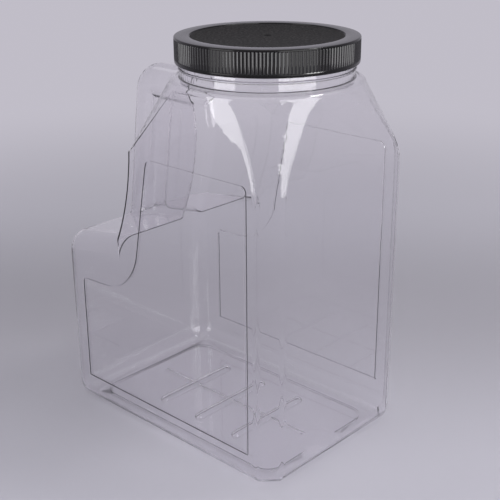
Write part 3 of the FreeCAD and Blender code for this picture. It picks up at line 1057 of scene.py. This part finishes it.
@dataclass
class RibRing:
    """Upright ribs round the cap's skirt, placed by a node tree with named sizes.

    The profile holds (share of the rib's height, share of its half width) from its foot to its crest. The
    taper holds (distance from an end, share of the full height).
    """

    root_radius: float
    height: float
    low_z: float
    high_z: float
    count: int = 160
    width: float = 1.3 * MM
    sink: float = 0.25 * MM
    profile: tuple[Point, ...] = ((0.0, 1.0), (0.5, 0.6), (0.82, 0.34), (0.96, 0.17))
    taper: tuple[Point, ...] = ((0.0, 0.0), (0.35 * MM, 0.8), (0.8 * MM, 1.0))
    sharp_angle: float = 45.0

    def one_rib(self) -> Object:
        """Make one rib, standing out along +X from the root.

        Returns:
            A rib with a rounded crest and tapered ends.
        """
        levels = [(self.low_z + away, share) for away, share in self.taper]
        levels += [(self.high_z - away, share) for away, share in reversed(self.taper)]
        half = self.width / 2.0
        outline = [(out, -side) for out, side in self.profile] + [(1.0, 0.0)] + list(reversed(self.profile))
        bm = bmesh.new()
        rings = []
        for z, share in levels:
            section = [(self.height * share * out, half * side) for out, side in outline]
            section += [(-self.sink, half), (-self.sink, -half)]
            rings.append([bm.verts.new((x, y, z)) for x, y in section])
        bar(bm, rings)
        made = bpy.data.objects.new("rib", as_mesh("rib", bm, self.sharp_angle))
        bpy.context.scene.collection.objects.link(made)
        return made

    def tree(self) -> NodeTree:
        """Make the node tree that stands a rib on each point of a ring.

        Returns:
            The tree.
        """
        group = bpy.data.node_groups.new("rib_ring", "GeometryNodeTree")
        group.interface.new_socket("Geometry", in_out="OUTPUT", socket_type="NodeSocketGeometry")
        for name, kind in (
            ("Rib", "Object"), ("Count", "Int"), ("Root Radius", "Float"), ("Axis X", "Float"),
            ("Material", "Material"),
        ):
            group.interface.new_socket(name, in_out="INPUT", socket_type="NodeSocket" + kind)
        graph = Graph(group)
        given = graph.node("NodeGroupInput").outputs
        count, root = given["Count"], given["Root Radius"]
        ring = graph.node("GeometryNodeMeshCircle", {}, {"Vertices": count, "Radius": root}).outputs["Mesh"]
        axis = graph.node("ShaderNodeCombineXYZ", {}, {"X": given["Axis X"]}).outputs["Vector"]
        placed = graph.node("GeometryNodeTransform", {}, {"Geometry": ring, "Translation": axis})
        index = Value(graph, graph.node("GeometryNodeInputIndex").outputs["Index"])
        turn = graph.node("ShaderNodeCombineXYZ", {}, {"Z": index * (FULL_TURN / Value(graph, count))})
        rib = graph.node("GeometryNodeObjectInfo", {}, {"Object": given["Rib"]})
        ribs = graph.node(
            "GeometryNodeInstanceOnPoints",
            {},
            {
                "Points": placed.outputs["Geometry"],
                "Instance": rib.outputs["Geometry"],
                "Rotation": turn.outputs["Vector"],
            },
        ).outputs["Instances"]
        real = graph.node("GeometryNodeRealizeInstances", {}, {"Geometry": ribs}).outputs["Geometry"]
        coated = graph.node("GeometryNodeSetMaterial", {}, {"Geometry": real, "Material": given["Material"]})
        graph.node("NodeGroupOutput", {}, {"Geometry": coated.outputs["Geometry"]})
        return group

    def build(self, material: Material) -> Object:
        """Make the ring of ribs as one plain mesh.

        Args:
            material: Finish of the ribs.

        Returns:
            The ribs.
        """
        rib = self.one_rib()
        group = self.tree()
        holder = bpy.data.objects.new("rib_holder", bpy.data.meshes.new("rib_holder"))
        bpy.context.scene.collection.objects.link(holder)
        modifier = holder.modifiers.new("ribs", "NODES")
        modifier.node_group = group
        values = {
            "Rib": rib,
            "Count": self.count,
            "Root Radius": self.root_radius,
            "Axis X": NECK_X,
            "Material": material,
        }
        for item in group.interface.items_tree:
            if item.item_type == "SOCKET" and item.in_out == "INPUT":
                modifier[item.identifier] = values[item.name]
        depsgraph = bpy.context.evaluated_depsgraph_get()
        mesh = bpy.data.meshes.new_from_object(holder.evaluated_get(depsgraph), depsgraph=depsgraph)
        for used in (holder, rib):
            bpy.data.objects.remove(used)
        mesh.name = "cap_ribs"
        return link("cap_ribs", mesh, material)


@dataclass
class ScrewCap:
    """Black screw cap: a turned shell with a raised rim, a recessed top, a gate mark, ribs and a thread."""

    radius: float = (CAP_RIGHT - CAP_LEFT) / 2.0
    top_z: float = CAP_TOP
    bottom_z: float = CAP_BOTTOM
    ceiling_z: float = LINER_TOP
    bore_radius: float = 60.1 * MM
    recess_radius: float = 51.3 * MM
    recess_depth: float = 0.8 * MM
    recess_fillet: float = 0.3 * MM
    rim_round: float = 0.35 * MM
    edge: float = 1.0 * MM
    mouth_edge: float = 0.2 * MM
    band: float = 2.2 * MM
    band_drop: float = 0.1 * MM
    head_drop: float = 0.25 * MM
    rib_height: float = 0.4 * MM
    rib_low_z: float = 274.7 * MM
    rib_high_z: float = 288.6 * MM
    gate_radius: float = 2.4 * MM
    gate_depth: float = 0.4 * MM
    gate_edge: float = 0.1 * MM
    gate_lip: float = 0.15 * MM
    nub_radius: float = 0.8 * MM
    bead_z: float = 285.6 * MM
    bead_radius: float = 0.8 * MM
    edge_steps: int = 6
    bead_steps: int = 8
    segments: int = 288
    sharp_angle: float = 28.0
    thread: Ridge = Ridge(wall_radius=bore_radius, start_z=275.772 * MM, turns=1.4, sink=0.15 * MM)
    finish: BlackMoulding = BlackMoulding()
    crest_finish: BlackMoulding = BlackMoulding(name="black_moulding_crests", shine=0.8, gloss=0.05)

    def section(self) -> list[Point]:
        """Section from the axis on top, out over the rim, down the skirt and back along the ceiling.

        Returns:
            (radius, z) points.
        """
        floor = self.top_z - self.recess_depth
        pit = floor - self.gate_depth
        root = self.radius - self.rib_height
        head = self.top_z - self.edge - self.head_drop
        foot = self.bottom_z + self.band - self.band_drop
        fillet, rim, edge = self.recess_fillet, self.rim_round, self.edge
        points = [(0.0, floor), (self.nub_radius - self.gate_edge, floor)]
        points += [(self.nub_radius, floor - self.gate_edge), (self.nub_radius, pit)]
        points += [(self.gate_radius - self.gate_edge, pit), (self.gate_radius, pit + self.gate_edge)]
        points += [(self.gate_radius, floor - self.gate_lip), (self.gate_radius + self.gate_lip, floor)]
        points += arc((self.recess_radius - fillet, floor + fillet), fillet, -90.0, 0.0, steps=3)
        points += arc((self.recess_radius + rim, self.top_z - rim), rim, 180.0, 90.0, steps=4)
        points += arc((self.radius - edge, self.top_z - edge), edge, 90.0, 0.0, self.edge_steps)
        points += [(self.radius, head), (root, head - self.rib_height)]
        points += [(root, foot + self.rib_height), (self.radius, foot)]
        points += arc((self.radius - edge, self.bottom_z + edge), edge, 0.0, -90.0, self.edge_steps)
        points += [(self.bore_radius + self.mouth_edge, self.bottom_z)]
        points += [(self.bore_radius, self.bottom_z + self.mouth_edge)]
        points += arc((self.bore_radius, self.bead_z), self.bead_radius, 270.0, 90.0, self.bead_steps)
        points += [(self.bore_radius, self.ceiling_z - self.mouth_edge)]
        points += [(self.bore_radius - self.mouth_edge, self.ceiling_z), (0.0, self.ceiling_z)]
        return points

    def build(self) -> list[Object]:
        """Make the cap's shell, its thread and its ribs.

        Returns:
            The pieces of the cap.
        """
        material = self.finish.material()
        shell = revolve(self.section(), self.segments)
        ridge = self.thread.build(Facing.INWARD)
        made = [
            link(name, as_mesh(name, bm, self.sharp_angle), material)
            for name, bm in (("cap_shell", shell), ("cap_thread", ridge))
        ]
        ribs = RibRing(self.radius - self.rib_height, self.rib_height, self.rib_low_z, self.rib_high_z)
        made.append(ribs.build(self.crest_finish.material()))
        return made


@dataclass
class FoamLiner:
    """Foam disc between the rim and the cap."""

    finish: LinerFoam = LinerFoam()

    def dress(self, node: Object) -> None:
        """Give the frame's liner its finish.

        Args:
            node: The frame's liner.
        """
        material = self.finish.material()
        for slot in node.material_slots:
            slot.material = material


# --------------------------------------------------------------------------- studio

BESIDE = 0.85


@dataclass(frozen=True)
class Lamp:
    """Soft rectangular lamp, unseen by the camera, with a face of one radiance, where 1 is white."""

    name: str
    place: Place
    aim: Place
    size: Point
    radiance: float

    @classmethod
    def beside_neck(cls, name: str, azimuth: float, z: float, size: Point, radiance: float) -> Lamp:
        """Lamp that stands BESIDE away from the neck's axis and faces it on its own level."""
        place = about_neck(BESIDE, math.radians(azimuth), z)
        return cls(name, place, (NECK_X, 0.0, z), size, radiance)

    def build(self) -> None:
        """Make the lamp."""
        width, height = self.size
        data = bpy.data.lights.new(self.name, "AREA")
        data.shape = "RECTANGLE"
        data.size, data.size_y = width, height
        data.energy = self.radiance * math.pi * width * height
        made = bpy.data.objects.new(self.name, data)
        bpy.context.scene.collection.objects.link(made)
        heading = Vector(self.aim) - Vector(self.place)
        turned = heading.to_track_quat("-Z", "Y").to_matrix().to_4x4()
        made.matrix_world = Matrix.Translation(self.place) @ turned
        made.visible_camera = False


@dataclass
class Studio:
    """Pale floor that meets a pale background, soft lamps and the camera."""

    floor_radius: float = 6.0
    floor_segments: int = 96
    world_light: Colour = (0.90, 0.91, 0.95, 1.0)
    world_strength: float = 0.36
    eye: Place = (0.4741, -0.4814, 0.3900)
    yaw: float = 43.2505
    pitch: float = 21.1933
    roll: float = -0.3762
    lens: float = 70.553
    sensor_width: float = 36.0
    clip: Point = (0.01, 50.0)
    finish: StageGrey = StageGrey()
    lamps: tuple[Lamp, ...] = (
        Lamp.beside_neck("left_box", azimuth=-103.0, z=0.38, size=(0.46, 0.64), radiance=2.6),
        Lamp.beside_neck("right_box", azimuth=-10.0, z=0.50, size=(0.76, 0.84), radiance=2.9),
        Lamp("overhead", place=(-0.2, 0.2, 2.3), aim=(0.0, 0.0, 0.0), size=(3.2, 3.2), radiance=0.48),
        Lamp("key", place=(0.45, 0.40, 1.15), aim=(0.0, 0.0, 0.15), size=(0.2, 0.2), radiance=26.0),
    )

    def camera(self) -> None:
        """Make the camera and set it as the scene's."""
        data = bpy.data.cameras.new("camera")
        data.sensor_width = self.sensor_width
        data.lens = self.lens
        data.clip_start, data.clip_end = self.clip
        made = bpy.data.objects.new("camera", data)
        bpy.context.scene.collection.objects.link(made)
        turn = Matrix.Rotation(math.radians(self.yaw), 4, "Z")
        tilt = Matrix.Rotation(math.radians(90.0 - self.pitch), 4, "X")
        lean = Matrix.Rotation(math.radians(self.roll), 4, "Z")
        made.matrix_world = Matrix.Translation(self.eye) @ turn @ tilt @ lean
        bpy.context.scene.camera = made

    def stage(self) -> None:
        """Make the round floor."""
        bm = bmesh.new()
        bmesh.ops.create_circle(bm, cap_ends=True, segments=self.floor_segments, radius=self.floor_radius)
        mesh = bpy.data.meshes.new("floor")
        bm.to_mesh(mesh)
        bm.free()
        link("floor", mesh, self.finish.material())

    def world(self) -> World:
        """Make a world that lights evenly, and that the camera, gloss and clear walls see as background.

        Returns:
            The world.
        """
        made = bpy.data.worlds.new("studio")
        tree = ShaderTree(made)
        rays = tree.node("ShaderNodeLightPath").outputs
        seen = Value(tree, rays["Is Camera Ray"])
        for ray in ("Is Glossy Ray", "Is Transmission Ray"):
            seen = tree.maths("MAXIMUM", seen, Value(tree, rays[ray]))
        light, backdrop = (
            tree.node("ShaderNodeBackground", {}, {"Color": colour, "Strength": strength}).outputs[0]
            for colour, strength in ((self.world_light, self.world_strength), (self.finish.background, 1.0))
        )
        tree.node("ShaderNodeOutputWorld", {}, {"Surface": tree.blend(seen, light, backdrop)})
        return made

    def build(self) -> None:
        """Make the stage, the world, the lamps and the camera."""
        scene = bpy.context.scene
        scene.view_settings.view_transform = "Standard"
        scene.world = self.world()
        self.stage()
        for lamp in self.lamps:
            lamp.build()
        self.camera()


# --------------------------------------------------------------------------- main


def main() -> None:
    """Build each part in order and report it."""
    logging.basicConfig(level=logging.INFO, format="%(name)s: %(message)s")
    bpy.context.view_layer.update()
    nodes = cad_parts
    dressed = (
        ("jar", Slot.CLEAR, JarShell().build(nodes["jar"])),
        ("cap", Slot.BLACK, ScrewCap().build()),
    )
    for node, slot, pieces in dressed:
        for piece in pieces:
            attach(piece, node)
            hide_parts(node)
            LOG.info("%s: %d faces", piece.name, len(piece.data.polygons))
    FoamLiner().dress(nodes["liner"])
    LOG.info("liner: foam finish")
    Studio().build()


if __name__ == "__main__":
    main()
